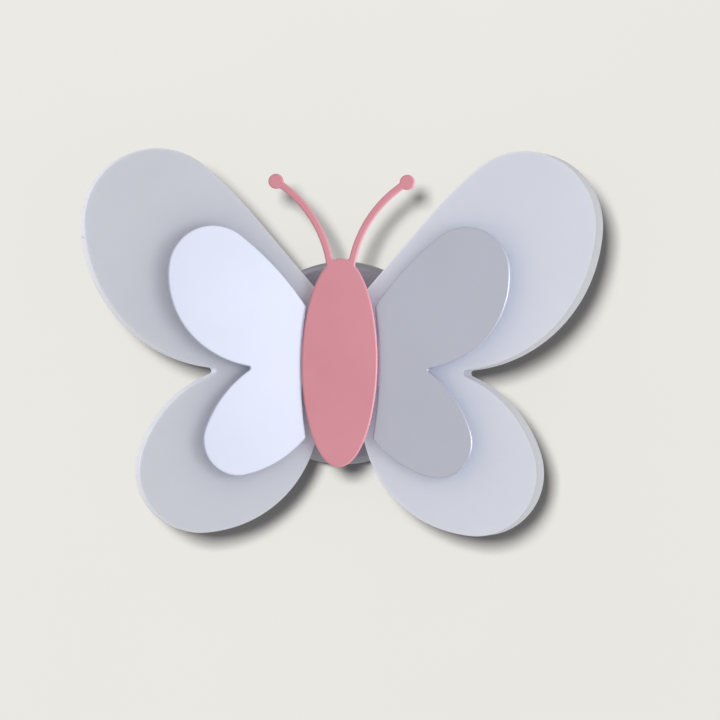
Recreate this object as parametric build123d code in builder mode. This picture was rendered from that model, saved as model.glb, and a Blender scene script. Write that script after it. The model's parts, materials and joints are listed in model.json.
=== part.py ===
"""Butterfly wall lamp for a child's room: light-box wings, painted front wings and body, round canopy.

Frame: millimetres, +Z up, the lamp faces -Y, the wall is the plane Y = 0 and the origin is the
centre of the wall bracket's screw pattern. "Depth" below is the distance from the wall, so a
point at depth d lies at Y = -d.
"""
from build123d import *
from math import cos, pi, radians, sin, tan
import os

os.makedirs("parts", exist_ok=True)

# ---------------------------------------------------------------- driving dimensions
SHEET = 1.5                 # folded steel sheet of the bracket, the carrier and the cross
CANOPY_RADIUS = 79.0
CANOPY_DEPTH = 22.0
CANOPY_WALL = 1.2
CANOPY_WALL_GAP = 0.5       # the canopy's rim stays just off the wall
CANOPY_CORNER = 5.0

REAR_TILT = 13.0            # the light boxes open forward like a flying butterfly
BOX_THICKNESS = 24.0
FACE_THICKNESS = 3.0
BAND_WALL = 2.5
BAND_SEAM = 0.5             # butt joint of the bent side band
TRAY_THICKNESS = 1.2
TRAY_CLEARANCE = 0.3
BOX_INNER_END = 12.0        # distance from the fold line to the light box's narrow end

FRONT_TILT = 18.0
FRONT_WING_THICKNESS = 3.0

BODY_HALF_WIDTH = 29.1
BODY_HALF_HEIGHT = 80.3
BODY_THICKNESS = 4.0
BODY_CHAMFER = 1.1
ANTENNA_WIDTH = 5.4
ANTENNA_BALL_RADIUS = 5.8

M4_RADIUS = 2.0
M4_HOLE_RADIUS = 2.2
M4_BORE_RADIUS = 2.05       # running fit of a thread that is not cut
M3_RADIUS = 1.5
M3_HOLE_RADIUS = 1.7
M3_BORE_RADIUS = 1.55

# ---------------------------------------------------------------- depths, worked out from the wall
canopy_front = CANOPY_DEPTH
canopy_inside = CANOPY_DEPTH - CANOPY_WALL
carrier_front = canopy_front + SHEET
CARRIER_HALF_FLAT = 9.0
BEND_OVERLAP = 1.2          # how far a folded sheet's flat runs into its bend
rear_fold_depth = carrier_front - CARRIER_HALF_FLAT * tan(radians(REAR_TILT))
CROSS_BACK = 50.0
CROSS_HALF_FLAT = 7.0
cross_front = CROSS_BACK + SHEET
front_fold_depth = cross_front - CROSS_HALF_FLAT * tan(radians(FRONT_TILT))
BODY_BACK = 62.2
BOSS_LENGTH = 6.0
boss_back = BODY_BACK - BOSS_LENGTH


def depth_plane(depth, x=0.0, z=0.0):
    """A plane parallel to the wall at a depth, facing the room, with its own X to the right."""
    return Plane(origin=(x, -depth, z), x_dir=(1, 0, 0), z_dir=(0, -1, 0))


def wing_plane(fold_depth, tilt, normal_offset=0.0):
    """The right wing's own plane: X outward from the fold line, Y up, Z toward the room."""
    angle = radians(tilt)
    plane = Plane(
        origin=(0, -fold_depth, 0),
        x_dir=(cos(angle), -sin(angle), 0),
        z_dir=(-sin(angle), -cos(angle), 0),
    )
    return plane.offset(normal_offset)


def rear_plane(normal_offset=0.0):
    """The light box's back face, or a plane in front of it."""
    return wing_plane(rear_fold_depth, REAR_TILT, normal_offset)


def front_plane(normal_offset=0.0):
    """The front wing's back face, or a plane in front of it."""
    return wing_plane(front_fold_depth, FRONT_TILT, normal_offset)


def write_piece(builder, name):
    """Label one finished piece and write it under its own name."""
    builder.part.label = name
    export_step(builder.part, f"parts/{name}.step")


def write_pair(right, name):
    """Write the right-hand piece and its mirror image on the left."""
    write_piece(right, f"{name}_right")
    with BuildPart() as left:
        mirror(right.part, about=Plane.YZ)
    write_piece(left, f"{name}_left")


# ---------------------------------------------------------------- outlines
def arc_chain(start, tangent, joints):
    """Tangent arcs from joint to joint, each leaving in the direction in which the last one ended."""
    for joint in joints:
        arc = TangentArc(start, joint, tangent=tangent)
        start = joint
        tangent = arc % 1


# Rear wing, seen square on: distance from the fold line, height.
REAR_EDGE_START = (72.8, 110.9)
REAR_EDGE_RISE = (0.657, 0.754)
REAR_UPPER_LOBE = [(112.8, 149.9), (206.0, 102.6), (196.0, 61.6), (105.5, -4.7)]
REAR_NOTCH_END = (104.8, -9.5)
REAR_LOWER_RISE = (0.924, -0.382)
REAR_LOWER_LOBE = [(159.6, -69.6), (109.5, -131.5), (89.5, -127.8), (24.7, -60.1)]
rear_edge_slope = REAR_EDGE_RISE[1] / REAR_EDGE_RISE[0]
rear_waist_top = (BOX_INNER_END, REAR_EDGE_START[1] - (REAR_EDGE_START[0] - BOX_INNER_END) * rear_edge_slope)
REAR_WAIST_BOTTOM = (BOX_INNER_END, -42.0)

with BuildSketch() as rear_outline:
    with BuildLine():
        Line(rear_waist_top, REAR_EDGE_START)
        arc_chain(REAR_EDGE_START, REAR_EDGE_RISE, [*REAR_UPPER_LOBE, REAR_NOTCH_END])
        arc_chain(REAR_NOTCH_END, REAR_LOWER_RISE, REAR_LOWER_LOBE)
        Polyline(REAR_LOWER_LOBE[-1], REAR_WAIST_BOTTOM, rear_waist_top)
    make_face()

# Front wing, seen square on, with the root tab that goes behind the body.
FRONT_ROOT_TOP = (28.7, 43.1)
FRONT_EDGE_RISE = (0.565, 0.825)
FRONT_UPPER_LOBE = [(81.4, 97.7), (137.4, 72.3), (111.9, 13.3), (73.6, -3.4)]
FRONT_NOTCH_END = (73.0, -5.9)
FRONT_LOWER_RISE = (0.82, -0.57)
FRONT_LOWER_LOBE = [(107.1, -50.8), (74.8, -86.8), (28.0, -58.0)]
FRONT_ROOT_MIDDLE = (32.2, -4.0)
TAB_HALF_HEIGHT = 18.0
TAB_INNER_END = 9.0

with BuildSketch() as front_outline:
    with BuildLine():
        arc_chain(FRONT_ROOT_TOP, FRONT_EDGE_RISE, [*FRONT_UPPER_LOBE, FRONT_NOTCH_END])
        arc_chain(FRONT_NOTCH_END, FRONT_LOWER_RISE, FRONT_LOWER_LOBE)
        ThreePointArc(FRONT_LOWER_LOBE[-1], FRONT_ROOT_MIDDLE, FRONT_ROOT_TOP)
    make_face()
    with Locations(((TAB_INNER_END + FRONT_ROOT_MIDDLE[0]) / 2, 0)):
        Rectangle(FRONT_ROOT_MIDDLE[0] - TAB_INNER_END, 2 * TAB_HALF_HEIGHT)

# ---------------------------------------------------------------- wall bracket
BRACKET_HALF_LENGTH = 66.0
BRACKET_HEIGHT = 24.0
EAR_DEPTH = 15.0
EAR_HALF_HEIGHT = 9.0
SIDE_SCREW_DEPTH = 9.0
WALL_SLOT_SPACING = 80.0
WALL_SLOT_LENGTH = 16.0
WALL_SLOT_RADIUS = 2.5
CABLE_HOLE_RADIUS = 7.0
BRACKET_CORNER = 3.0

with BuildPart() as wall_bracket:
    with BuildSketch(depth_plane(0)):
        RectangleRounded(2 * BRACKET_HALF_LENGTH, BRACKET_HEIGHT, BRACKET_CORNER)
        Circle(CABLE_HOLE_RADIUS, mode=Mode.SUBTRACT)
        with GridLocations(WALL_SLOT_SPACING, 0, 2, 1):
            SlotOverall(WALL_SLOT_LENGTH, 2 * WALL_SLOT_RADIUS, mode=Mode.SUBTRACT)
    extrude(amount=SHEET)
    for side in (-1, 1):
        ear_middle = side * (BRACKET_HALF_LENGTH - SHEET / 2)
        with BuildSketch(depth_plane(0)):
            with Locations((ear_middle, 0)):
                Rectangle(SHEET, 2 * EAR_HALF_HEIGHT)
        extrude(amount=EAR_DEPTH)
        with BuildSketch(Plane.YZ.offset(ear_middle)):
            with Locations((-SIDE_SCREW_DEPTH, EAR_HALF_HEIGHT)):
                SlotOverall(2 * EAR_HALF_HEIGHT + 2 * M4_HOLE_RADIUS, 2 * M4_HOLE_RADIUS, rotation=90)
        extrude(amount=SHEET, both=True, mode=Mode.SUBTRACT)
write_piece(wall_bracket, "wall_bracket")

# ---------------------------------------------------------------- canopy
CENTRE_HOLE_RADIUS = 5.0
LONG_SCREW_HEIGHTS = (20.0, -58.0)
long_screw_places = [(0, height) for height in LONG_SCREW_HEIGHTS]
SIDE_BOSS_RADIUS = 4.5
SIDE_BOSS_INNER = 71.0
side_boss_length = CANOPY_RADIUS - CANOPY_WALL / 2 - SIDE_BOSS_INNER
EARTH_PLACE = (40.0, -34.0)
DRIVER_SCREW_X = 49.0
DRIVER_MIDDLE = 44.0

with BuildPart() as canopy:
    with BuildSketch(Plane.YZ):
        with BuildLine():
            outside = FilletPolyline((-CANOPY_WALL_GAP, CANOPY_RADIUS), (-canopy_front, CANOPY_RADIUS),
                                     (-canopy_front, 0), radius=CANOPY_CORNER)
            inside = FilletPolyline((-canopy_inside, 0), (-canopy_inside, CANOPY_RADIUS - CANOPY_WALL),
                                    (-CANOPY_WALL_GAP, CANOPY_RADIUS - CANOPY_WALL),
                                    radius=CANOPY_CORNER - CANOPY_WALL)
            Line(outside @ 1, inside @ 0)
            Line(inside @ 1, outside @ 0)
        make_face()
    revolve(axis=Axis.Y)
    for side in (-1, 1):
        with BuildSketch(Plane.YZ.offset(side * SIDE_BOSS_INNER)):
            with Locations((-SIDE_SCREW_DEPTH, 0)):
                Circle(SIDE_BOSS_RADIUS)
        extrude(amount=side * side_boss_length)
    with BuildSketch(Plane.YZ):
        with Locations((-SIDE_SCREW_DEPTH, 0)):
            Circle(M4_BORE_RADIUS)
    extrude(amount=2 * CANOPY_RADIUS, both=True, mode=Mode.SUBTRACT)
    with BuildSketch(depth_plane(canopy_inside)):
        Circle(CENTRE_HOLE_RADIUS)
        with Locations(*long_screw_places):
            Circle(M4_HOLE_RADIUS)
        with Locations(EARTH_PLACE):
            Circle(M4_BORE_RADIUS)
        with Locations((-DRIVER_SCREW_X, DRIVER_MIDDLE), (DRIVER_SCREW_X, DRIVER_MIDDLE)):
            Circle(M3_BORE_RADIUS)
    extrude(amount=2 * CANOPY_WALL, both=True, mode=Mode.SUBTRACT)
write_piece(canopy, "canopy")

# ---------------------------------------------------------------- side screws and their washers
SIDE_SCREW_TIP = 60.0
WASHER_RADIUS = 5.0
WASHER_THICKNESS = 1.0
WASHER_BORE_RADIUS = 2.08
THUMB_HEAD_RADIUS = 5.5
THUMB_HEAD_LENGTH = 8.0
THUMB_GRIP_COUNT = 16
THUMB_GRIP_RADIUS = 0.7
THUMB_GRIP_OUTSET = 0.2     # the grip grooves' centres lie this far outside the head
SCREW_TIP_BREAK = 0.5
WASHER_STANDOFF = 0.4       # the washer is not yet drawn up against the canopy
HEAD_STANDOFF = 0.05
washer_seat = CANOPY_RADIUS + WASHER_STANDOFF
thumb_head_seat = washer_seat + WASHER_THICKNESS + HEAD_STANDOFF


def side_plane(x):
    """A plane across the side screw's axis at a distance from the lamp's middle."""
    return Plane(origin=(x, -SIDE_SCREW_DEPTH, 0), x_dir=(0, 1, 0), z_dir=(1, 0, 0))


with BuildPart() as side_washer:
    with BuildSketch(side_plane(washer_seat)):
        Circle(WASHER_RADIUS)
        Circle(WASHER_BORE_RADIUS, mode=Mode.SUBTRACT)
    extrude(amount=WASHER_THICKNESS)
write_pair(side_washer, "side_washer")

with BuildPart() as side_screw:
    with BuildSketch(side_plane(SIDE_SCREW_TIP)):
        Circle(M4_RADIUS)
    extrude(amount=thumb_head_seat - SIDE_SCREW_TIP + THUMB_HEAD_LENGTH / 2)
    with BuildSketch(side_plane(thumb_head_seat)):
        Circle(THUMB_HEAD_RADIUS)
        with PolarLocations(THUMB_HEAD_RADIUS + THUMB_GRIP_OUTSET, THUMB_GRIP_COUNT):
            Circle(THUMB_GRIP_RADIUS, mode=Mode.SUBTRACT)
    extrude(amount=THUMB_HEAD_LENGTH)
    chamfer(side_screw.faces().sort_by(Axis.X)[0].edges(), SCREW_TIP_BREAK)
write_pair(side_screw, "side_screw")

# ---------------------------------------------------------------- wing carrier
CARRIER_TOP = 36.0
CARRIER_BOTTOM = -66.0
FLAP_END = 62.0
FLAP_BOTTOM = -40.0
TRAY_BOLTS = [(24.0, 27.0), (24.0, -31.0), (52.0, 0.0)]

with BuildPart() as wing_carrier:
    with BuildSketch(depth_plane(canopy_front)):
        with Locations((0, (CARRIER_TOP + CARRIER_BOTTOM) / 2)):
            Rectangle(2 * (CARRIER_HALF_FLAT + BEND_OVERLAP), CARRIER_TOP - CARRIER_BOTTOM)
        Circle(CENTRE_HOLE_RADIUS, mode=Mode.SUBTRACT)
        with Locations(*long_screw_places):
            Circle(M4_HOLE_RADIUS, mode=Mode.SUBTRACT)
    extrude(amount=SHEET)
    flap_start = CARRIER_HALF_FLAT / cos(radians(REAR_TILT))
    with BuildSketch(rear_plane(-SHEET)):
        with Locations(((flap_start + FLAP_END) / 2, (CARRIER_TOP + FLAP_BOTTOM) / 2)):
            Rectangle(FLAP_END - flap_start, CARRIER_TOP - FLAP_BOTTOM)
        with Locations(*TRAY_BOLTS):
            Circle(M4_HOLE_RADIUS, mode=Mode.SUBTRACT)
    extrude(amount=SHEET)
    mirror(wing_carrier.part, about=Plane.YZ)
write_piece(wing_carrier, "wing_carrier")

# ---------------------------------------------------------------- light boxes
LEAD_RADIUS = 1.0
LEAD_HOLE_RADIUS = 2.0
LEAD_ENTRY_OFFSET = 8.3
POSTS = [(80.0, 45.0), (165.0, 75.0), (122.0, 138.0), (92.0, -40.0), (130.0, -90.0), (78.0, -103.0)]
POST_RADIUS = 4.0
BAND_DEPTH = BOX_THICKNESS - FACE_THICKNESS
SEAM_HEIGHT = 94.0
FACE_EDGE_BREAK = 0.5

with BuildPart() as rear_band:
    with BuildSketch(rear_plane()):
        add(rear_outline.sketch)
        offset(amount=-BAND_WALL, kind=Kind.INTERSECTION, mode=Mode.SUBTRACT)
    extrude(amount=BAND_DEPTH)
    lead_hole_plane = Plane(origin=rear_plane(LEAD_ENTRY_OFFSET).origin, z_dir=rear_plane().x_dir)
    with BuildSketch(lead_hole_plane):
        Circle(LEAD_HOLE_RADIUS)
    extrude(amount=BOX_INNER_END + 2 * BAND_WALL, mode=Mode.SUBTRACT)
write_piece(rear_band, "rear_band_right")

seam_middle = wing_plane(rear_fold_depth, REAR_TILT, BAND_DEPTH / 2).from_local_coords(
    (REAR_UPPER_LOBE[1][0], SEAM_HEIGHT, 0))
with BuildPart() as rear_band_left:
    mirror(rear_band.part, about=Plane.YZ)
    with Locations((-seam_middle.X, seam_middle.Y, seam_middle.Z)):
        Box(BOX_THICKNESS, 2 * BOX_THICKNESS, BAND_SEAM, mode=Mode.SUBTRACT)
write_piece(rear_band_left, "rear_band_left")

with BuildPart() as rear_face:
    with BuildSketch(rear_plane(BAND_DEPTH)):
        add(rear_outline.sketch)
    extrude(amount=FACE_THICKNESS)
    front_face = rear_face.faces().sort_by(Axis(rear_plane().origin, rear_plane().z_dir))[-1]
    chamfer(front_face.edges(), FACE_EDGE_BREAK)
write_pair(rear_face, "rear_face")

with BuildPart() as rear_tray:
    with BuildSketch(rear_plane()):
        add(rear_outline.sketch)
        offset(amount=-BAND_WALL - TRAY_CLEARANCE, kind=Kind.INTERSECTION, mode=Mode.REPLACE)
        with Locations(*TRAY_BOLTS):
            Circle(M4_HOLE_RADIUS, mode=Mode.SUBTRACT)
        with Locations(*POSTS):
            Circle(M3_HOLE_RADIUS, mode=Mode.SUBTRACT)
    extrude(amount=TRAY_THICKNESS)
write_pair(rear_tray, "rear_tray")

with BuildPart() as face_posts:
    with BuildSketch(rear_plane(TRAY_THICKNESS)):
        with Locations(*POSTS):
            Circle(POST_RADIUS)
            Circle(M3_BORE_RADIUS, mode=Mode.SUBTRACT)
    extrude(amount=BAND_DEPTH - TRAY_THICKNESS)
write_pair(face_posts, "face_posts")


HEX_SOCKET = 0.7            # the hexagon socket's corner radius as a share of the screw's


def screws(plane, places, radius, head_radius, head_height, shank_length, sockets=True):
    """Pan-head screws whose heads sit behind a plane and whose shanks run forward of it."""
    with BuildPart() as group:
        with BuildSketch(plane):
            with Locations(*places):
                Circle(head_radius)
        extrude(amount=-head_height)
        if sockets:
            with BuildSketch(plane.offset(-head_height)):
                with Locations(*places):
                    RegularPolygon(HEX_SOCKET * radius, 6)
            extrude(amount=head_height / 2, mode=Mode.SUBTRACT)
        with BuildSketch(plane):
            with Locations(*places):
                Circle(radius)
        extrude(amount=shank_length)
    return group


def hex_nuts(plane, places, bore_radius, across_flats, height):
    """Plain hexagon nuts standing on a plane."""
    with BuildPart() as group:
        with BuildSketch(plane):
            with Locations(*places):
                RegularPolygon(across_flats / 2, 6, major_radius=False)
                Circle(bore_radius, mode=Mode.SUBTRACT)
        extrude(amount=height)
    return group


POST_SCREW_LENGTH = 8.0
TRAY_BOLT_LENGTH = 7.0
M4_HEAD_RADIUS = 3.8
M4_HEAD_HEIGHT = 2.6
M4_NUT_FLATS = 7.0
M4_NUT_HEIGHT = 3.2
M3_HEAD_RADIUS = 2.8
M3_HEAD_HEIGHT = 1.8
M3_NUT_FLATS = 5.5
M3_NUT_HEIGHT = 2.4

post_screws = screws(rear_plane(), POSTS, M3_RADIUS, M3_HEAD_RADIUS, M3_HEAD_HEIGHT, POST_SCREW_LENGTH)
write_pair(post_screws, "post_screws")
tray_bolts = screws(rear_plane(-SHEET), TRAY_BOLTS, M4_RADIUS, M4_HEAD_RADIUS, M4_HEAD_HEIGHT,
                    TRAY_BOLT_LENGTH)
write_pair(tray_bolts, "tray_bolts")
tray_nuts = hex_nuts(rear_plane(TRAY_THICKNESS), TRAY_BOLTS, M4_BORE_RADIUS, M4_NUT_FLATS, M4_NUT_HEIGHT)
write_pair(tray_nuts, "tray_nuts")

# ---------------------------------------------------------------- light boards
BOARD_THICKNESS = 1.6
BOARD_WIDTH = 12.0
UPPER_ARM = [(28.0, 6.0), (62.0, 52.0), (138.0, 118.0)]
LOWER_ARM = [(28.0, -6.0), (58.0, -52.0), (108.0, -104.0)]
UPPER_LAMP_COUNT = 9
LOWER_LAMP_COUNT = 7
LAMP_LENGTH = 3.5
LAMP_WIDTH = 2.8
LAMP_HEIGHT = 0.8
SOCKET_LENGTH = 8.0
SOCKET_WIDTH = 7.0
SOCKET_HEIGHT = 5.0
SOCKET_PLACE = (30.0, 0.0)
board_front = TRAY_THICKNESS + BOARD_THICKNESS

with BuildPart() as light_board:
    with BuildSketch(rear_plane(TRAY_THICKNESS)):
        with BuildLine():
            Polyline(UPPER_ARM[-1], UPPER_ARM[1], UPPER_ARM[0], LOWER_ARM[0], LOWER_ARM[1], LOWER_ARM[-1])
        trace(line_width=BOARD_WIDTH)
    extrude(amount=BOARD_THICKNESS)
write_pair(light_board, "light_board")

with BuildPart() as light_chips:
    for arm, count in ((UPPER_ARM, UPPER_LAMP_COUNT), (LOWER_ARM, LOWER_LAMP_COUNT)):
        with BuildLine(rear_plane(board_front), mode=Mode.PRIVATE) as arm_line:
            Polyline(*arm)
        for step in range(count):
            chip = (step + 0.5) / count
            chip_plane = Plane(
                origin=arm_line.line @ chip,
                x_dir=arm_line.line % chip,
                z_dir=rear_plane().z_dir,
            )
            with BuildSketch(chip_plane):
                Rectangle(LAMP_LENGTH, LAMP_WIDTH)
            extrude(amount=LAMP_HEIGHT)
write_pair(light_chips, "light_chips")

with BuildPart() as board_socket:
    with BuildSketch(rear_plane(board_front)):
        with Locations(SOCKET_PLACE):
            Rectangle(SOCKET_LENGTH, SOCKET_WIDTH)
    extrude(amount=SOCKET_HEIGHT)
write_pair(board_socket, "board_socket")

# ---------------------------------------------------------------- cross that carries the front wings
CROSS_TOP = 28.0
CROSS_BOTTOM = -64.0
CROSS_FLAP_END = 27.0
WING_SCREWS = [(18.0, 11.0), (18.0, -11.0)]

with BuildPart() as wing_cross:
    with BuildSketch(depth_plane(CROSS_BACK)):
        with Locations((0, (CROSS_TOP + CROSS_BOTTOM) / 2)):
            Rectangle(2 * (CROSS_HALF_FLAT + BEND_OVERLAP), CROSS_TOP - CROSS_BOTTOM)
        with Locations(*long_screw_places):
            Circle(M4_HOLE_RADIUS, mode=Mode.SUBTRACT)
    extrude(amount=SHEET)
    cross_flap_start = CROSS_HALF_FLAT / cos(radians(FRONT_TILT))
    with BuildSketch(front_plane(-SHEET)):
        with Locations(((cross_flap_start + CROSS_FLAP_END) / 2, 0)):
            Rectangle(CROSS_FLAP_END - cross_flap_start, 2 * TAB_HALF_HEIGHT)
        with Locations(*WING_SCREWS):
            Circle(M3_HOLE_RADIUS, mode=Mode.SUBTRACT)
    extrude(amount=SHEET)
    mirror(wing_cross.part, about=Plane.YZ)
write_piece(wing_cross, "wing_cross")

# ---------------------------------------------------------------- front wings
FRONT_EDGE_BREAK = 0.4
WING_SCREW_TIP = 0.3        # how far the screws come through their nuts
wing_screw_length = FRONT_WING_THICKNESS + SHEET + M3_NUT_HEIGHT + WING_SCREW_TIP

with BuildPart() as front_wing:
    with BuildSketch(front_plane()):
        add(front_outline.sketch)
        with Locations(*WING_SCREWS):
            Circle(M3_HOLE_RADIUS, mode=Mode.SUBTRACT)
    extrude(amount=FRONT_WING_THICKNESS)
    wing_front = front_wing.faces().sort_by(Axis(front_plane().origin, front_plane().z_dir))[-1]
    chamfer(wing_front.outer_wire().edges(), FRONT_EDGE_BREAK)
write_pair(front_wing, "front_wing")

wing_screw_seat = front_plane(FRONT_WING_THICKNESS)
with BuildPart() as wing_screws:
    with BuildSketch(wing_screw_seat):
        with Locations(*WING_SCREWS):
            Circle(M3_HEAD_RADIUS)
    extrude(amount=M3_HEAD_HEIGHT)
    with BuildSketch(wing_screw_seat):
        with Locations(*WING_SCREWS):
            Circle(M3_RADIUS)
    extrude(amount=-wing_screw_length)
write_pair(wing_screws, "wing_screws")
wing_nuts = hex_nuts(front_plane(-SHEET - M3_NUT_HEIGHT), WING_SCREWS, M3_BORE_RADIUS, M3_NUT_FLATS,
                     M3_NUT_HEIGHT)
write_pair(wing_nuts, "wing_nuts")

# ---------------------------------------------------------------- body with its antennae
ANTENNA_ROOT = (7.6, 68.0)
ANTENNA_MIDDLE = (21.3, 110.0)
ANTENNA_TIP = (50.5, 139.0)
ANTENNA_BLEND = 2.0
SHOULDER_HEIGHT = 70.0
BOSS_RADIUS = 4.0
BOSS_BORE_DEPTH = 8.0

with BuildPart() as body_plate:
    with BuildSketch(depth_plane(BODY_BACK)) as body_outline:
        Ellipse(BODY_HALF_WIDTH, BODY_HALF_HEIGHT)
        with BuildLine():
            ThreePointArc(ANTENNA_ROOT, ANTENNA_MIDDLE, ANTENNA_TIP)
        trace(line_width=ANTENNA_WIDTH)
        with Locations(ANTENNA_TIP):
            Circle(ANTENNA_BALL_RADIUS)
        mirror(about=Plane.YZ)
        above_shoulder = body_outline.vertices().filter_by(lambda corner: corner.Y > SHOULDER_HEIGHT)
        fillet(above_shoulder.filter_by(lambda corner: abs(corner.X) > 1), ANTENNA_BLEND)
    extrude(amount=BODY_THICKNESS)
    body_front = body_plate.faces().sort_by(Axis.Y)[0]
    chamfer(body_front.edges(), BODY_CHAMFER)
    with BuildSketch(depth_plane(boss_back)):
        with Locations(*long_screw_places):
            Circle(BOSS_RADIUS)
    extrude(amount=BOSS_LENGTH)
    with BuildSketch(depth_plane(boss_back)):
        with Locations(*long_screw_places):
            Circle(M4_BORE_RADIUS)
    extrude(amount=BOSS_BORE_DEPTH, mode=Mode.SUBTRACT)
write_piece(body_plate, "body_plate")

# ---------------------------------------------------------------- long screws and their spacers
SPACER_RADIUS = 4.0
LONG_SCREW_END_GAP = 0.6
long_screws = screws(depth_plane(canopy_inside), long_screw_places, M4_RADIUS, M4_HEAD_RADIUS,
                     M4_HEAD_HEIGHT, boss_back + BOSS_BORE_DEPTH - LONG_SCREW_END_GAP - canopy_inside)
write_piece(long_screws, "long_screws")


def spacers(start, end):
    """Tubes over the long screws between two depths."""
    with BuildPart() as tubes:
        with BuildSketch(depth_plane(start)):
            with Locations(*long_screw_places):
                Circle(SPACER_RADIUS)
                Circle(M4_HOLE_RADIUS, mode=Mode.SUBTRACT)
        extrude(amount=end - start)
    return tubes


write_piece(spacers(carrier_front, CROSS_BACK), "rear_spacers")
write_piece(spacers(cross_front, boss_back), "front_spacers")

# ---------------------------------------------------------------- driver inside the canopy
DRIVER_LENGTH = 88.0
DRIVER_HEIGHT = 30.0
DRIVER_BACK = 5.8
DRIVER_WALL = 1.5
DRIVER_CORNER = 2.0
EAR_LENGTH = 11.0
LID_THICKNESS = 1.5
LEAD_HOLE_X = 6.0
LIVE_HOLE_X = -30.0
NEUTRAL_HOLE_X = -22.0
DRIVER_LEAD_DEPTH = 12.0
DRIVER_HOLE_RADIUS = 2.0
driver_hole_rows = (LIVE_HOLE_X, NEUTRAL_HOLE_X, -LEAD_HOLE_X, LEAD_HOLE_X)
driver_hole_places = [(x, -DRIVER_LEAD_DEPTH) for x in driver_hole_rows]
driver_screw_places = [(-DRIVER_SCREW_X, 0), (DRIVER_SCREW_X, 0)]
driver_floor = DRIVER_MIDDLE - DRIVER_HEIGHT / 2

with BuildPart() as driver_case:
    with BuildSketch(depth_plane(DRIVER_BACK, 0, DRIVER_MIDDLE)):
        RectangleRounded(DRIVER_LENGTH, DRIVER_HEIGHT, DRIVER_CORNER)
    extrude(amount=canopy_inside - DRIVER_BACK)
    with BuildSketch(depth_plane(DRIVER_BACK, 0, DRIVER_MIDDLE)):
        RectangleRounded(DRIVER_LENGTH - 2 * DRIVER_WALL, DRIVER_HEIGHT - 2 * DRIVER_WALL,
                         DRIVER_CORNER - DRIVER_WALL)
    extrude(amount=canopy_inside - DRIVER_BACK - DRIVER_WALL, mode=Mode.SUBTRACT)
    with BuildSketch(depth_plane(canopy_inside - 2 * DRIVER_WALL, 0, DRIVER_MIDDLE)):
        with Locations(*driver_screw_places):
            RectangleRounded(EAR_LENGTH, EAR_LENGTH, DRIVER_CORNER)
        Rectangle(DRIVER_LENGTH - 2 * DRIVER_WALL, DRIVER_HEIGHT, mode=Mode.SUBTRACT)
        with Locations(*driver_screw_places):
            Circle(M3_HOLE_RADIUS, mode=Mode.SUBTRACT)
    extrude(amount=2 * DRIVER_WALL)
    with BuildSketch(Plane.XY.offset(driver_floor)):
        with Locations(*driver_hole_places):
            Circle(DRIVER_HOLE_RADIUS)
    extrude(amount=2 * DRIVER_WALL, mode=Mode.SUBTRACT)
write_piece(driver_case, "driver_case")

with BuildPart() as driver_lid:
    with BuildSketch(depth_plane(DRIVER_BACK - LID_THICKNESS, 0, DRIVER_MIDDLE)):
        RectangleRounded(DRIVER_LENGTH, DRIVER_HEIGHT, DRIVER_CORNER)
    extrude(amount=LID_THICKNESS)
write_piece(driver_lid, "driver_lid")

driver_screws = screws(depth_plane(canopy_inside - 2 * DRIVER_WALL, 0, DRIVER_MIDDLE), driver_screw_places,
                       M3_RADIUS, M3_HEAD_RADIUS, M3_HEAD_HEIGHT, 2 * DRIVER_WALL + CANOPY_WALL)
write_piece(driver_screws, "driver_screws")

CIRCUIT_LENGTH = 82.0
CIRCUIT_HEIGHT = 24.0
CIRCUIT_BACK = 15.5
TRANSFORMER_SIZE = 16.0
PART_HEIGHT = 8.5
CAPACITOR_RADIUS = 4.0
TRANSFORMER_PLACE = (4.0, 3.0)
CAPACITOR_PLACES = [(26.0, 4.0), (-16.0, 5.0), (-34.0, 5.0)]
CHOKE_PLACE = (26.0, -7.0)
CHOKE_HEIGHT = 4.0

with BuildPart() as driver_circuit:
    with BuildSketch(depth_plane(CIRCUIT_BACK, 0, DRIVER_MIDDLE)):
        Rectangle(CIRCUIT_LENGTH, CIRCUIT_HEIGHT)
    extrude(amount=BOARD_THICKNESS)
    with BuildSketch(depth_plane(CIRCUIT_BACK, 0, DRIVER_MIDDLE)):
        with Locations(TRANSFORMER_PLACE):
            Rectangle(TRANSFORMER_SIZE, TRANSFORMER_SIZE)
        with Locations(*CAPACITOR_PLACES):
            Circle(CAPACITOR_RADIUS)
        with Locations(CHOKE_PLACE):
            Rectangle(TRANSFORMER_SIZE, CHOKE_HEIGHT)
    extrude(amount=-PART_HEIGHT)
write_piece(driver_circuit, "driver_circuit")

# ---------------------------------------------------------------- terminal block and earth
TERMINAL_LENGTH = 30.0
TERMINAL_HEIGHT = 18.0
TERMINAL_DEPTH = 13.0
TERMINAL_MIDDLE = -39.0
POLE_SPACING = 9.0
POLES = [-POLE_SPACING, 0.0, POLE_SPACING]
BARREL_RADIUS = 2.6
BARREL_BORE_RADIUS = 1.4
WELL_RADIUS = 2.1
CLAMP_SCREW_RADIUS = 1.2
CLAMP_HEAD_RADIUS = 1.9
CLAMP_OFFSET = 4.5
CLAMP_HEAD_HEIGHT = 1.2
CLAMP_SHANK_LENGTH = 2.2
CLAMP_THREAD_GAP = 0.05
BARREL_FROM_BACK = 7.0
TERMINAL_CORNER = 1.5
terminal_back = canopy_inside - TERMINAL_DEPTH
barrel_depth = terminal_back + BARREL_FROM_BACK
clamp_places = [(pole, side * CLAMP_OFFSET) for pole in POLES for side in (-1, 1)]

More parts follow.
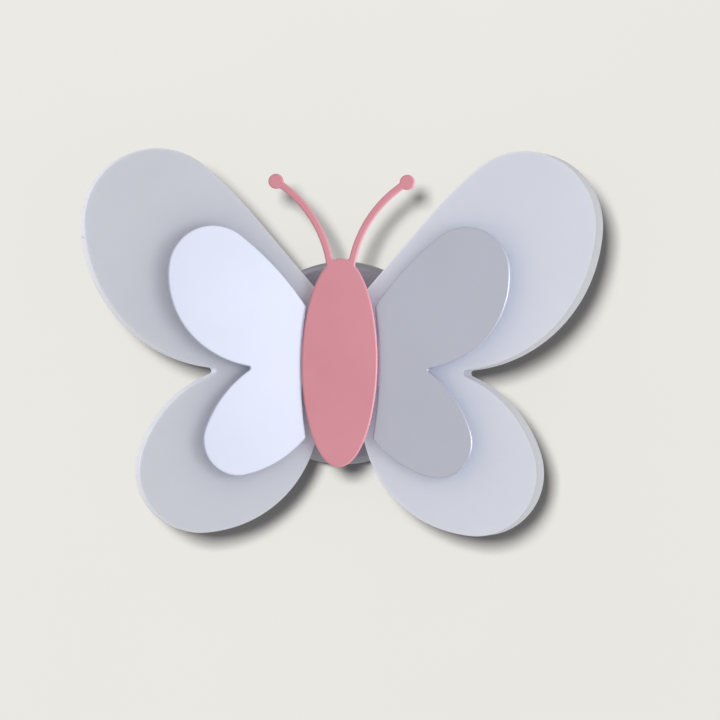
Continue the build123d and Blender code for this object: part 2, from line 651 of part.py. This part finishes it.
with BuildPart() as terminal_block:
    with BuildSketch(depth_plane(terminal_back, 0, TERMINAL_MIDDLE)):
        RectangleRounded(TERMINAL_LENGTH, TERMINAL_HEIGHT, TERMINAL_CORNER)
    extrude(amount=TERMINAL_DEPTH)
    with BuildSketch(Plane.XY.offset(TERMINAL_MIDDLE)):
        with Locations(*[(pole, -barrel_depth) for pole in POLES]):
            Circle(BARREL_RADIUS)
    extrude(amount=TERMINAL_HEIGHT, both=True, mode=Mode.SUBTRACT)
    with BuildSketch(depth_plane(terminal_back, 0, TERMINAL_MIDDLE)):
        with Locations(*clamp_places):
            Circle(WELL_RADIUS)
    extrude(amount=barrel_depth - terminal_back, mode=Mode.SUBTRACT)
write_piece(terminal_block, "terminal_block")

BARREL_LENGTH = 15.0
with BuildPart() as terminal_barrels:
    with BuildSketch(Plane.XY.offset(TERMINAL_MIDDLE - BARREL_LENGTH / 2)):
        with Locations(*[(pole, -barrel_depth) for pole in POLES]):
            Circle(BARREL_RADIUS)
            Circle(BARREL_BORE_RADIUS, mode=Mode.SUBTRACT)
    extrude(amount=BARREL_LENGTH)
    with BuildSketch(depth_plane(terminal_back, 0, TERMINAL_MIDDLE)):
        with Locations(*clamp_places):
            Circle(CLAMP_SCREW_RADIUS)
    extrude(amount=barrel_depth - terminal_back, mode=Mode.SUBTRACT)
write_piece(terminal_barrels, "terminal_barrels")

clamp_seat = barrel_depth - BARREL_RADIUS - CLAMP_HEAD_HEIGHT
clamp_screws = screws(depth_plane(clamp_seat, 0, TERMINAL_MIDDLE), clamp_places,
                      CLAMP_SCREW_RADIUS - CLAMP_THREAD_GAP, CLAMP_HEAD_RADIUS, CLAMP_HEAD_HEIGHT,
                      CLAMP_SHANK_LENGTH, sockets=False)
write_piece(clamp_screws, "clamp_screws")

TAG_RADIUS = 4.5
TAG_THICKNESS = 0.8
TAG_BARREL_RADIUS = 1.8
TAG_BARREL_LENGTH = 6.0
TAG_NECK = 1.0
TAG_BARREL_FIT = 0.02       # the crimp holds the lead with next to no clearance
earth_x, earth_z = EARTH_PLACE
tag_barrel_start = earth_z + TAG_RADIUS + TAG_NECK
tag_barrel_depth = canopy_inside - TAG_BARREL_RADIUS

with BuildPart() as earth_tag:
    with BuildSketch(depth_plane(canopy_inside - TAG_THICKNESS)):
        with Locations(EARTH_PLACE):
            Circle(TAG_RADIUS)
        with Locations((earth_x, tag_barrel_start)):
            Rectangle(2 * TAG_BARREL_RADIUS, TAG_RADIUS)
        with Locations(EARTH_PLACE):
            Circle(M4_BORE_RADIUS, mode=Mode.SUBTRACT)
    extrude(amount=TAG_THICKNESS)
    with BuildSketch(Plane.XY.offset(tag_barrel_start)):
        with Locations((earth_x, -tag_barrel_depth)):
            Circle(TAG_BARREL_RADIUS)
    extrude(amount=TAG_BARREL_LENGTH)
    with BuildSketch(Plane.XY.offset(tag_barrel_start + TAG_BARREL_LENGTH / 2)):
        with Locations((earth_x, -tag_barrel_depth)):
            Circle(LEAD_RADIUS + TAG_BARREL_FIT)
    extrude(amount=TAG_BARREL_LENGTH, mode=Mode.SUBTRACT)
write_piece(earth_tag, "earth_tag")

earth_screw = screws(depth_plane(canopy_inside - TAG_THICKNESS), [EARTH_PLACE], M4_RADIUS, M4_HEAD_RADIUS,
                     M4_HEAD_HEIGHT, TAG_THICKNESS + CANOPY_WALL)
write_piece(earth_screw, "earth_screw")

# ---------------------------------------------------------------- grommet
GROMMET_BORE_RADIUS = 3.4
GROMMET_FLANGE_RADIUS = 6.5
GROMMET_FLANGE = 1.0

with BuildPart() as grommet:
    with BuildSketch(depth_plane(canopy_inside - GROMMET_FLANGE)):
        Circle(GROMMET_FLANGE_RADIUS)
    extrude(amount=GROMMET_FLANGE)
    with BuildSketch(depth_plane(canopy_inside)):
        Circle(CENTRE_HOLE_RADIUS)
    extrude(amount=carrier_front - canopy_inside)
    with BuildSketch(depth_plane(carrier_front)):
        Circle(GROMMET_FLANGE_RADIUS)
    extrude(amount=GROMMET_FLANGE)
    with BuildSketch(depth_plane(0)):
        Circle(GROMMET_BORE_RADIUS)
    extrude(amount=carrier_front + 2 * GROMMET_FLANGE, mode=Mode.SUBTRACT)
write_piece(grommet, "grommet")


# ---------------------------------------------------------------- leads
BEND_SHARE = 0.45           # the share of the shorter run that a bend may use


def lead(route, radius):
    """A lead along straight runs joined by tangent arcs as large as the runs allow."""
    points = [Vector(*point) for point in route]
    bends = []
    for before, corner, after in zip(points, points[1:], points[2:]):
        arriving = corner - before
        leaving = after - corner
        half_turn = radians(arriving.get_angle(leaving)) / 2
        bends.append(BEND_SHARE * min(arriving.length, leaving.length) / tan(half_turn))
    with BuildPart() as wire:
        with BuildLine() as path:
            FilletPolyline(*points, radius=bends)
        start = Plane(origin=path.line @ 0, z_dir=path.line % 0)
        with BuildSketch(start):
            Circle(radius)
        sweep()
    volume_ratio = wire.part.volume / (pi * radius ** 2 * path.wire().length)
    print("bend radii", [round(bend, 1) for bend in bends], "volume ratio", round(volume_ratio, 3))
    return wire


def at_depth(x, depth, z):
    """A point given by its depth from the wall."""
    return (x, -depth, z)


LEAD_SIDE_STEP = 1.5
LEAD_TURN_DEPTH = 32.0
LEAD_END_GAP = 0.4
LEAD_END_IN_DRIVER = 3.5
LEAD_END_IN_BARREL = 6.0
inside_driver = driver_floor + LEAD_END_IN_DRIVER
inside_barrel = TERMINAL_MIDDLE + LEAD_END_IN_BARREL
socket_entry = rear_plane(board_front + SOCKET_HEIGHT / 2).from_local_coords(
    (SOCKET_PLACE[0] - SOCKET_LENGTH / 2 - LEAD_END_GAP, 0, 0))

light_lead = lead(
    [
        at_depth(LEAD_HOLE_X, DRIVER_LEAD_DEPTH, inside_driver),
        at_depth(LEAD_SIDE_STEP, DRIVER_LEAD_DEPTH, 0),
        at_depth(LEAD_SIDE_STEP, LEAD_TURN_DEPTH, 0),
        tuple(socket_entry),
    ],
    LEAD_RADIUS,
)
write_pair(light_lead, "light_lead")

live_lead = lead(
    [
        at_depth(-POLE_SPACING, barrel_depth, inside_barrel),
        at_depth(-POLE_SPACING - 1, barrel_depth - 0.5, inside_barrel + 17),
        at_depth(-24, 12.5, 6),
        at_depth(LIVE_HOLE_X, DRIVER_LEAD_DEPTH, inside_driver),
    ],
    LEAD_RADIUS,
)
write_piece(live_lead, "live_lead")

neutral_lead = lead(
    [
        at_depth(0, barrel_depth, inside_barrel),
        at_depth(-2, barrel_depth - 1, inside_barrel + 15),
        at_depth(-16, 9.5, 4),
        at_depth(NEUTRAL_HOLE_X, DRIVER_LEAD_DEPTH, inside_driver),
    ],
    LEAD_RADIUS,
)
write_piece(neutral_lead, "neutral_lead")

earth_lead = lead(
    [
        at_depth(POLE_SPACING, barrel_depth, inside_barrel),
        at_depth(POLE_SPACING + 1.5, barrel_depth - 0.5, inside_barrel + 17),
        at_depth(25, 16, -3),
        at_depth(earth_x, tag_barrel_depth, -7),
        at_depth(earth_x, tag_barrel_depth, tag_barrel_start + TAG_BARREL_LENGTH / 2 + 0.2),
    ],
    LEAD_RADIUS,
)
write_piece(earth_lead, "earth_lead")
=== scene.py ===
"""Looks of the butterfly wall lamp: materials on the CAD pieces, the wall, the light and the camera."""

import json
import math

import bpy
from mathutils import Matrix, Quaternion, Vector


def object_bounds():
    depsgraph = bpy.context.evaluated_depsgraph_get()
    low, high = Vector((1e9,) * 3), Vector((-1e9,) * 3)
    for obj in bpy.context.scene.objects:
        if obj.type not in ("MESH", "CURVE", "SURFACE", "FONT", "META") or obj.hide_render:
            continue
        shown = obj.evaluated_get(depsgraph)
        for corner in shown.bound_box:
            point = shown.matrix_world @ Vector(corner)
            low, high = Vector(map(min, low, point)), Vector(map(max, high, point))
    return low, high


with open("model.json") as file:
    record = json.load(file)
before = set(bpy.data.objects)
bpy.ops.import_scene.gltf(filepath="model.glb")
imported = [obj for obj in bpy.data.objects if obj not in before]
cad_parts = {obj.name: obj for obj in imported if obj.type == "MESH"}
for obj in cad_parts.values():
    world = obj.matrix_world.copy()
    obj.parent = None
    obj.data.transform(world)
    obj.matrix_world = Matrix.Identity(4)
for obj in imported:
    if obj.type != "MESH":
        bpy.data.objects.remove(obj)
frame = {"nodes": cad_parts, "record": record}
cad_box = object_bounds()
nodes = frame["nodes"]
scene = bpy.context.scene


# ---------------------------------------------------------------- node-tree helpers
MIX_FIRST, MIX_SECOND, MIX_RESULT = 6, 7, 2     # the Mix node's colour sockets share their names with others
SHARP_ANGLE = math.radians(30)


class Maker:
    """Builds one material: a Principled shader and the nodes that feed it."""

    def __init__(self, name):
        self.material = bpy.data.materials.new(name)
        self.material.use_nodes = True
        self.tree = self.material.node_tree
        self.shader = self.tree.nodes["Principled BSDF"]
        self.place = self.tree.nodes.new("ShaderNodeTexCoord").outputs["Object"]

    def node(self, kind, **settings):
        made = self.tree.nodes.new(kind)
        for key, value in settings.items():
            setattr(made, key, value)
        return made

    def link(self, source, target):
        self.tree.links.new(source, target)

    def noise(self, scale, detail=4.0, stretch=None, roughness=0.55):
        """Noise over the object's own coordinates, stretched along an axis if asked. Returns its factor."""
        noise = self.node("ShaderNodeTexNoise")
        noise.inputs["Scale"].default_value = scale
        noise.inputs["Detail"].default_value = detail
        noise.inputs["Roughness"].default_value = roughness
        source = self.place
        if stretch:
            mapping = self.node("ShaderNodeMapping")
            mapping.inputs["Scale"].default_value = stretch
            self.link(source, mapping.inputs["Vector"])
            source = mapping.outputs["Vector"]
        self.link(source, noise.inputs["Vector"])
        return noise.outputs["Fac"]

    def spread(self, factor, low, high, start=0.3, end=0.7):
        """Maps a factor's range onto low to high."""
        mapper = self.node("ShaderNodeMapRange")
        mapper.inputs["From Min"].default_value = start
        mapper.inputs["From Max"].default_value = end
        mapper.inputs["To Min"].default_value = low
        mapper.inputs["To Max"].default_value = high
        self.link(factor, mapper.inputs["Value"])
        return mapper.outputs["Result"]

    def blend(self, factor, first, second):
        """Mixes two colours, each a tuple or a socket."""
        mixer = self.node("ShaderNodeMix", data_type="RGBA")
        self.link(factor, mixer.inputs["Factor"])
        for socket, value in ((mixer.inputs[MIX_FIRST], first), (mixer.inputs[MIX_SECOND], second)):
            if isinstance(value, tuple):
                socket.default_value = (*value, 1.0)
            else:
                self.link(value, socket)
        return mixer.outputs[MIX_RESULT]

    def bump(self, height, distance, strength, normal=None):
        """Normal raised by a height, over another normal if given."""
        bump = self.node("ShaderNodeBump")
        bump.inputs["Strength"].default_value = strength
        bump.inputs["Distance"].default_value = distance
        self.link(height, bump.inputs["Height"])
        if normal is not None:
            self.link(normal, bump.inputs["Normal"])
        return bump.outputs["Normal"]

    def rounded(self, radius):
        """Normal that turns smoothly over edges, as paint or polish rounds them."""
        bevel = self.node("ShaderNodeBevel", samples=8)
        bevel.inputs["Radius"].default_value = radius
        return bevel.outputs["Normal"]

    def painted_edge_highlight(self, radius):
        """Rises from 0 on the open surface to 1 at an edge, where the rounded normal turns away: where a
        painted highlight goes.
        """
        turned = self.node("ShaderNodeVectorMath", operation="DOT_PRODUCT")
        self.link(self.rounded(radius), turned.inputs[0])
        self.link(self.node("ShaderNodeNewGeometry").outputs["Normal"], turned.inputs[1])
        return self.spread(turned.outputs["Value"], 1.0, 0.0, 0.82, 0.99)

    def finish(self, colour, roughness, normal, **settings):
        """Feeds the Principled shader. Settings are its other sockets, by name. Returns the material."""
        for name, value in settings.items():
            self.shader.inputs[name.replace("_", " ")].default_value = value
        for name, value in (("Base Color", colour), ("Roughness", roughness), ("Normal", normal)):
            if isinstance(value, float):
                self.shader.inputs[name].default_value = value
            else:
                self.link(value, self.shader.inputs[name])
        return self.material


def srgb(red, green, blue):
    """Linear colour of an 8-bit display colour."""
    def linear(value):
        value /= 255.0
        return value / 12.92 if value <= 0.04045 else ((value + 0.055) / 1.055) ** 2.4
    return (linear(red), linear(green), linear(blue))


# ---------------------------------------------------------------- materials
def opal_acrylic():
    """Milky acrylic: faint cloudiness in the colour, a fine satin grain, light that sinks in."""
    make = Maker("opal acrylic")
    cloud = make.noise(9.0, 3.0)
    colour = make.blend(make.spread(cloud, 0.0, 1.0), srgb(217, 222, 235), srgb(221, 226, 239))
    grain = make.noise(2600.0, 2.0)
    wave = make.noise(26.0, 2.0)
    normal = make.bump(grain, 0.000006, 0.2, make.rounded(0.0006))
    normal = make.bump(wave, 0.0003, 0.05, normal)
    rough = make.spread(make.noise(60.0, 3.0), 0.42, 0.50)
    return make.finish(colour, rough, normal, Subsurface_Weight=0.7, Subsurface_Scale=0.004,
                       Subsurface_Radius=(1.0, 0.95, 0.9), IOR=1.49)


def satin_white():
    """White pearl enamel on sheet: a fine orange peel under a soft gloss."""
    make = Maker("satin white enamel")
    tone = make.noise(14.0, 4.0)
    colour = make.blend(make.spread(tone, 0.0, 1.0), srgb(201, 206, 225), srgb(206, 210, 230))
    fleck = make.noise(4200.0, 1.0)
    normal = make.bump(make.noise(420.0, 2.0), 0.00003, 0.2, make.rounded(0.0016))
    normal = make.bump(fleck, 0.00001, 0.3, normal)
    rough = make.spread(make.noise(12.0, 2.0), 0.395, 0.405)
    return make.finish(colour, rough, normal, Metallic=0.7)


def satin_pink():
    """Dusty pink enamel with a fine orange peel, and a pale painted highlight on the edges."""
    make = Maker("satin pink enamel")
    tone = make.noise(20.0, 4.0)
    colour = make.blend(make.spread(tone, 0.0, 1.0), srgb(224, 148, 165), srgb(229, 154, 171))
    # The paler pink on the edges is a painted highlight.
    colour = make.blend(make.painted_edge_highlight(0.0008), colour, srgb(236, 186, 197))
    normal = make.bump(make.noise(430.0, 2.0), 0.00006, 0.25, make.rounded(0.0009))
    rough = make.spread(make.noise(80.0, 3.0), 0.36, 0.44)
    return make.finish(colour, rough, normal, Coat_Weight=0.15, Coat_Roughness=0.3)


def spun_metal():
    """Spun metal: circular brush marks round the canopy's axis."""
    make = Maker("spun metal")
    split = make.node("ShaderNodeSeparateXYZ")
    make.link(make.place, split.inputs["Vector"])
    squares = []
    for axis in ("X", "Z"):
        square = make.node("ShaderNodeMath", operation="MULTIPLY")
        make.link(split.outputs[axis], square.inputs[0])
        make.link(split.outputs[axis], square.inputs[1])
        squares.append(square.outputs["Value"])
    total = make.node("ShaderNodeMath", operation="ADD")
    make.link(squares[0], total.inputs[0])
    make.link(squares[1], total.inputs[1])
    root = make.node("ShaderNodeMath", operation="SQRT")
    make.link(total.outputs["Value"], root.inputs[0])
    ring = make.node("ShaderNodeTexNoise", noise_dimensions="1D")
    ring.inputs["Scale"].default_value = 2600.0
    ring.inputs["Detail"].default_value = 3.0
    make.link(root.outputs["Value"], ring.inputs["W"])
    factor = ring.outputs["Fac"]
    colour = make.blend(make.spread(factor, 0.0, 1.0), srgb(150, 151, 162), srgb(166, 168, 179))
    normal = make.bump(factor, 0.00003, 0.5)
    rough = make.spread(factor, 0.40, 0.50)
    tangent = make.node("ShaderNodeTangent", direction_type="RADIAL", axis="Y")
    make.link(tangent.outputs["Tangent"], make.shader.inputs["Tangent"])
    return make.finish(colour, rough, normal, Metallic=1.0, Anisotropic=0.75)


def plain_metal(name, light, dark, roughness, metallic=1.0, scale=180.0):
    """Plated or drawn metal with fine mottling and a painted highlight on the edges."""
    make = Maker(name)
    mottle = make.noise(scale, 5.0)
    colour = make.blend(make.spread(mottle, 0.0, 1.0), dark, light)
    # The lighter colour on the edges is a painted highlight.
    colour = make.blend(make.painted_edge_highlight(0.0003), colour, tuple(min(1.0, 1.15 * c) for c in light))
    normal = make.bump(make.noise(scale * 8, 2.0), 0.00003, 0.3)
    rough = make.spread(mottle, roughness - 0.06, roughness + 0.06)
    return make.finish(colour, rough, normal, Metallic=metallic)


def moulded(name, colour, roughness=0.45, grain=900.0, **settings):
    """Moulded plastic or rubber: faint tone variation and a fine grain."""
    make = Maker(name)
    tone = make.noise(35.0, 3.0)
    darker = tuple(0.93 * c for c in colour)
    mixed = make.blend(make.spread(tone, 0.0, 1.0), darker, colour)
    normal = make.bump(make.noise(grain, 2.0), 0.00004, 0.3)
    rough = make.spread(make.noise(120.0, 3.0), roughness - 0.05, roughness + 0.05)
    return make.finish(mixed, rough, normal, **settings)


def striped_lead():
    """Green insulation with a yellow stripe along the lead."""
    make = Maker("green and yellow insulation")
    wave = make.node("ShaderNodeTexWave", bands_direction="DIAGONAL")
    wave.inputs["Scale"].default_value = 160.0
    wave.inputs["Distortion"].default_value = 0.6
    make.link(make.place, wave.inputs["Vector"])
    stripe = make.spread(wave.outputs["Fac"], 0.0, 1.0, 0.45, 0.55)
    colour = make.blend(stripe, srgb(70, 140, 60), srgb(214, 196, 60))
    normal = make.bump(make.noise(900.0, 2.0), 0.00004, 0.3)
    return make.finish(colour, 0.42, normal)


def circuit_board():
    """Green solder mask with paler tracks."""
    make = Maker("circuit board")
    cells = make.node("ShaderNodeTexVoronoi", distance="CHEBYCHEV")
    cells.inputs["Scale"].default_value = 260.0
    make.link(make.place, cells.inputs["Vector"])
    tracks = make.spread(cells.outputs["Distance"], 1.0, 0.0, 0.10, 0.16)
    colour = make.blend(tracks, srgb(34, 104, 62), srgb(60, 138, 88))
    return make.finish(colour, 0.38, make.bump(tracks, 0.00005, 0.5))


LOOKS = {
    "opal_acrylic": opal_acrylic(),
    "white_paint": satin_white(),
    "pink_paint": satin_pink(),
    "spun_metal": spun_metal(),
    "zinc_sheet": plain_metal("zinc plated sheet", srgb(206, 208, 212), srgb(176, 180, 186), 0.34,
                              scale=60.0),
    "zinc_steel": plain_metal("zinc plated steel", srgb(212, 213, 216), srgb(184, 186, 190), 0.30),
    "nickel_screw": plain_metal("satin nickel", srgb(206, 202, 194), srgb(188, 184, 176), 0.26),
    "aluminium_tube": plain_metal("drawn aluminium", srgb(214, 215, 218), srgb(196, 197, 200), 0.32),
    "white_sheet": plain_metal("white painted sheet", srgb(226, 227, 231), srgb(218, 219, 224), 0.45,
                               metallic=0.0, scale=40.0),
    "clear_acrylic": moulded("clear acrylic", srgb(236, 240, 243), 0.2, Transmission_Weight=0.6, IOR=1.49),
    "light_board_white": moulded("white solder mask", srgb(238, 238, 232), 0.4),
    "lamp_phosphor": moulded("yellow phosphor", srgb(236, 206, 92), 0.35),
    "white_plastic": moulded("white polycarbonate", srgb(232, 232, 226), 0.42),
    "circuit_board": circuit_board(),
    "terminal_plastic": moulded("natural polyamide", srgb(226, 222, 206), 0.38, Subsurface_Weight=0.15,
                                Subsurface_Scale=0.002),
    "brass_parts": plain_metal("brass", srgb(214, 180, 104), srgb(186, 150, 80), 0.30),
    "rubber_parts": moulded("black rubber", srgb(34, 34, 36), 0.62, grain=500.0),
    "brown_lead": moulded("brown insulation", srgb(110, 68, 40)),
    "blue_lead": moulded("blue insulation", srgb(48, 96, 176)),
    "green_lead": striped_lead(),
    "white_lead": moulded("white insulation", srgb(232, 232, 228)),
}

for entry in frame["record"]["subparts"]:
    piece = nodes[entry["node"]]
    material = LOOKS[entry["material_slot"]]
    for slot in piece.material_slots:
        slot.material = material
    piece.data.shade_smooth()
    piece.data.set_sharp_from_angle(angle=SHARP_ANGLE)

# ---------------------------------------------------------------- the wall
middle = (cad_box[0] + cad_box[1]) / 2


def one_sided_wall():
    """Pale matt paint, seen only from the room's side."""
    make = Maker("wall paint")
    tone = make.noise(3.0, 2.0)
    colour = make.blend(make.spread(tone, 0.0, 1.0), srgb(124, 125, 129), srgb(125, 126, 130))
    make.finish(colour, 0.9, make.bump(make.noise(900.0, 2.0), 0.00002, 0.1))
    back = make.node("ShaderNodeNewGeometry").outputs["Backfacing"]
    clear = make.node("ShaderNodeBsdfTransparent")
    mixer = make.node("ShaderNodeMixShader")
    make.link(back, mixer.inputs["Fac"])
    make.link(make.shader.outputs["BSDF"], mixer.inputs[1])
    make.link(clear.outputs["BSDF"], mixer.inputs[2])
    output = next(n for n in make.tree.nodes if n.type == "OUTPUT_MATERIAL")
    make.link(mixer.outputs["Shader"], output.inputs["Surface"])
    return make.material


WALL_HALF = 4.0
WALL_GAP = 0.0005           # keeps the wall's plane off the back of the bracket
wall_corners = [(x * WALL_HALF, 0, z * WALL_HALF) for x, z in ((-1, -1), (1, -1), (1, 1), (-1, 1))]
wall_mesh = bpy.data.meshes.new("wall")
wall_mesh.from_pydata(wall_corners, [], [(0, 1, 2, 3)])
wall = bpy.data.objects.new("wall", wall_mesh)
wall.location.y = WALL_GAP
wall_mesh.materials.append(one_sided_wall())
scene.collection.objects.link(wall)
# The wall neither lights the lamp nor shades it.
for ray in ("diffuse", "glossy", "transmission", "shadow"):
    setattr(wall, f"visible_{ray}", False)

# ---------------------------------------------------------------- light
world = bpy.data.worlds.new("studio")
scene.world = world
world.use_nodes = True
world.node_tree.nodes["Background"].inputs["Color"].default_value = (*srgb(241, 237, 230), 1.0)
world.node_tree.nodes["Background"].inputs["Strength"].default_value = 0.75


def soft_light(name, azimuth, elevation, distance, size, power, colour, receivers,
               shadows=True, bounces=None):
    """A square soft light aimed at the lamp's middle, from an azimuth to the right of straight in front.

    It shines on the receivers only."""
    data = bpy.data.lights.new(name, "AREA")
    data.shape = "SQUARE"
    data.size = size
    data.energy = power
    data.color = colour
    data.use_shadow = shadows
    if bounces is not None:
        data.cycles.max_bounces = bounces
    light = bpy.data.objects.new(name, data)
    side, up = math.radians(azimuth), math.radians(elevation)
    away = Vector((math.sin(side) * math.cos(up), -math.cos(side) * math.cos(up), math.sin(up)))
    light.location = middle + away * distance
    light.rotation_euler = away.to_track_quat("Z", "Y").to_euler()
    scene.collection.objects.link(light)
    light.light_linking.receiver_collection = receivers


def named_collection(name, members):
    """A collection that only lights read, to say what they shine on."""
    group = bpy.data.collections.new(name)
    for member in members:
        group.objects.link(member)
    return group


FRONT_PLATES = ("front_wing_left", "front_wing_right", "body_plate")
whole_lamp = named_collection("whole lamp", list(nodes.values()))
front_plates = named_collection("front plates", [nodes[name] for name in FRONT_PLATES])
rear_pieces = named_collection("rear pieces",
                               [piece for name, piece in nodes.items() if name not in FRONT_PLATES])
wall_only = named_collection("wall only", [wall])
# Angles in degrees, distance and size in metres, power in watts.
soft_light("key", azimuth=34, elevation=1.5, distance=1.0, size=0.5, power=1.56,
           colour=(0.96, 1.0, 1.02), receivers=whole_lamp)
soft_light("side fill", azimuth=-75, elevation=15, distance=1.8, size=1.2, power=13.5,
           colour=(1.0, 1.0, 1.05), receivers=rear_pieces, shadows=False)
soft_light("front fill", azimuth=-38, elevation=0, distance=1.8, size=1.4, power=0.88,
           colour=(1.0, 1.0, 1.0), receivers=front_plates)
soft_light("rim light", azimuth=85, elevation=-5, distance=0.9, size=0.5, power=4.2,
           colour=(1.0, 1.0, 1.0), receivers=front_plates, shadows=False, bounces=0)
soft_light("wall light", azimuth=-6.5, elevation=8.5, distance=12.0, size=2.2, power=4680.0,
           colour=(1.0, 0.965, 0.85), receivers=wall_only)

# ---------------------------------------------------------------- camera
CAMERA_AZIMUTH = 3.0        # degrees to the right of straight in front
CAMERA_ROLL = 0.6           # degrees by which the lamp appears turned clockwise
CAMERA_DISTANCE = 3.3
CAMERA_REACH = 20.0
SENSOR_WIDTH = 36.0         # millimetres
FRAME_WIDTH = 0.5557        # what the picture's width spans at the lamp
OFF_CENTRE = (0.0147, 0.0022)

camera_data = bpy.data.cameras.new("camera")
camera = bpy.data.objects.new("camera", camera_data)
scene.collection.objects.link(camera)
scene.camera = camera
side = math.radians(CAMERA_AZIMUTH)
toward = Vector((math.sin(side), -math.cos(side), 0))
turn = toward.to_track_quat("Z", "Y") @ Quaternion((0, 0, 1), math.radians(CAMERA_ROLL))
aim = Vector((0, middle.y, 0)) + turn @ Vector((*OFF_CENTRE, 0))
camera.location = aim + toward * CAMERA_DISTANCE
camera.rotation_euler = turn.to_euler()
camera_data.sensor_width = SENSOR_WIDTH
camera_data.lens = SENSOR_WIDTH * CAMERA_DISTANCE / FRAME_WIDTH
camera_data.clip_end = CAMERA_REACH
scene.view_settings.view_transform = "Standard"
